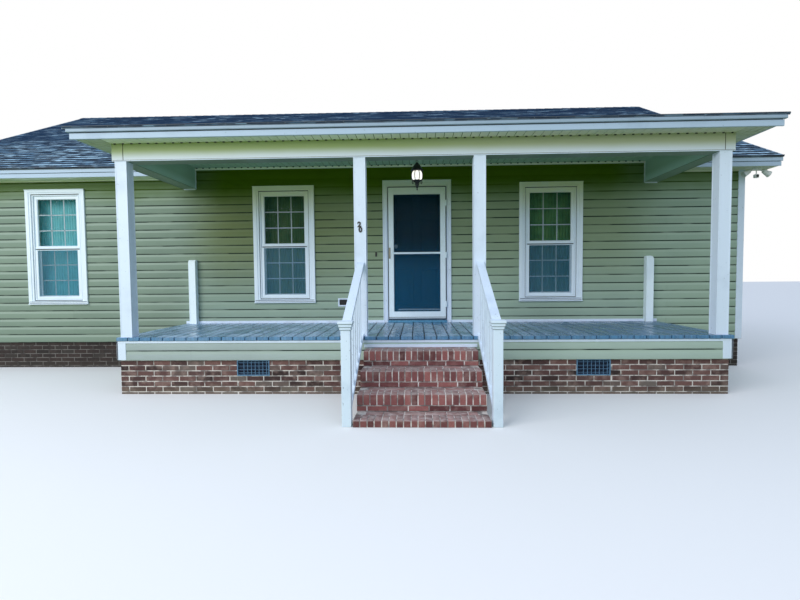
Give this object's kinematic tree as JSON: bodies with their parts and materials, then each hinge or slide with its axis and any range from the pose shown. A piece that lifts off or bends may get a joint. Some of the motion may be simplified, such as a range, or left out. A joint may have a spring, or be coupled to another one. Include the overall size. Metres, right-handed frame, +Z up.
{
  "type": "bungalow with front porch",
  "caption": "Low gabled bungalow with lap siding, a brick foundation, a columned front porch, railed brick steps, and a storm door before its entry door.",
  "frame": {"origin": "on the ground, at the middle of the outline of roof and steps", "axes": "+X right along the front, +Y from the front to the back, +Z up; the steps and porch face -Y"},
  "size_m": [13.53, 11.964, 5.4185],
  "materials": {
    "siding": "painted lap siding",
    "trim": "white trim, soffits and rails",
    "brick": "fired clay brick in cream mortar",
    "shingle": "granule-faced roof shingles",
    "deck_paint": "painted deck boards",
    "window_frame": "white window frames and sashes",
    "pane": "clear window glass",
    "door_frame": "painted door frame",
    "door_paint": "dark painted entry door",
    "storm_frame": "white enamelled storm door",
    "handle_brass": "polished brass",
    "knob_metal": "satin metal",
    "sill_metal": "mill finish",
    "vent_metal": "grey louvres",
    "lantern_metal": "black",
    "lamp_shell": "moulded shell",
    "floor_wood": "strip floor",
    "ceiling_board": "painted board",
    "interior_paint": "painted wall board",
    "curtain": "woven cloth"
  },
  "bodies": {
    "house": {"front_foundation": "brick", "back_foundation": "brick", "side_foundations": "brick", "porch_foundation": "brick", "crawl_vents": "vent_metal", "floor": "floor_wood", "front_wall_left": "siding", "front_wall_right": "siding", "wall_over_door": "siding", "back_wall": "siding", "left_wall": "siding", "right_wall": "siding", "corner_boards": "trim", "front_windows": "window_frame", "back_windows": "window_frame", "side_windows": "window_frame", "window_glass": "pane", "door_jambs": "door_frame", "door_head": "door_frame", "door_sill": "sill_metal", "ceiling": "ceiling_board", "roof_front": "shingle", "roof_back": "shingle", "front_eaves": "trim", "back_eave": "trim", "rakes": "trim", "porch_deck": "deck_paint", "porch_skirt": "siding", "porch_columns": "trim", "front_beam": "trim", "side_beams": "trim", "porch_ceiling": "trim", "porch_roof": "shingle", "porch_front_eave": "trim", "porch_side_eaves": "trim", "half_posts": "trim", "bottom_step": "brick", "second_step": "brick", "third_step": "brick", "top_step": "brick", "newel_posts": "trim", "step_rails": "trim", "porch_lantern": "lantern_metal", "security_light": "lamp_shell", "mail_slot": "trim"},
    "storm_door": {"storm_door": "storm_frame", "storm_door_glass": "pane", "storm_door_handle": "handle_brass"},
    "entry_door": {"entry_door": "door_paint", "entry_door_knob": "knob_metal"}
  },
  "joints": [
    {"name": "storm_door_hinge", "type": "hinge", "parent": "house", "child": "storm_door", "pos_m": [1.918, -2.929, 1.75], "axis": [0, 0, 1], "range_deg": [0, 100]},
    {"name": "entry_door_hinge", "type": "hinge", "parent": "house", "child": "entry_door", "pos_m": [1.924, -2.721, 1.75], "axis": [0, 0, -1], "range_deg": [0, 95]}
  ]
}
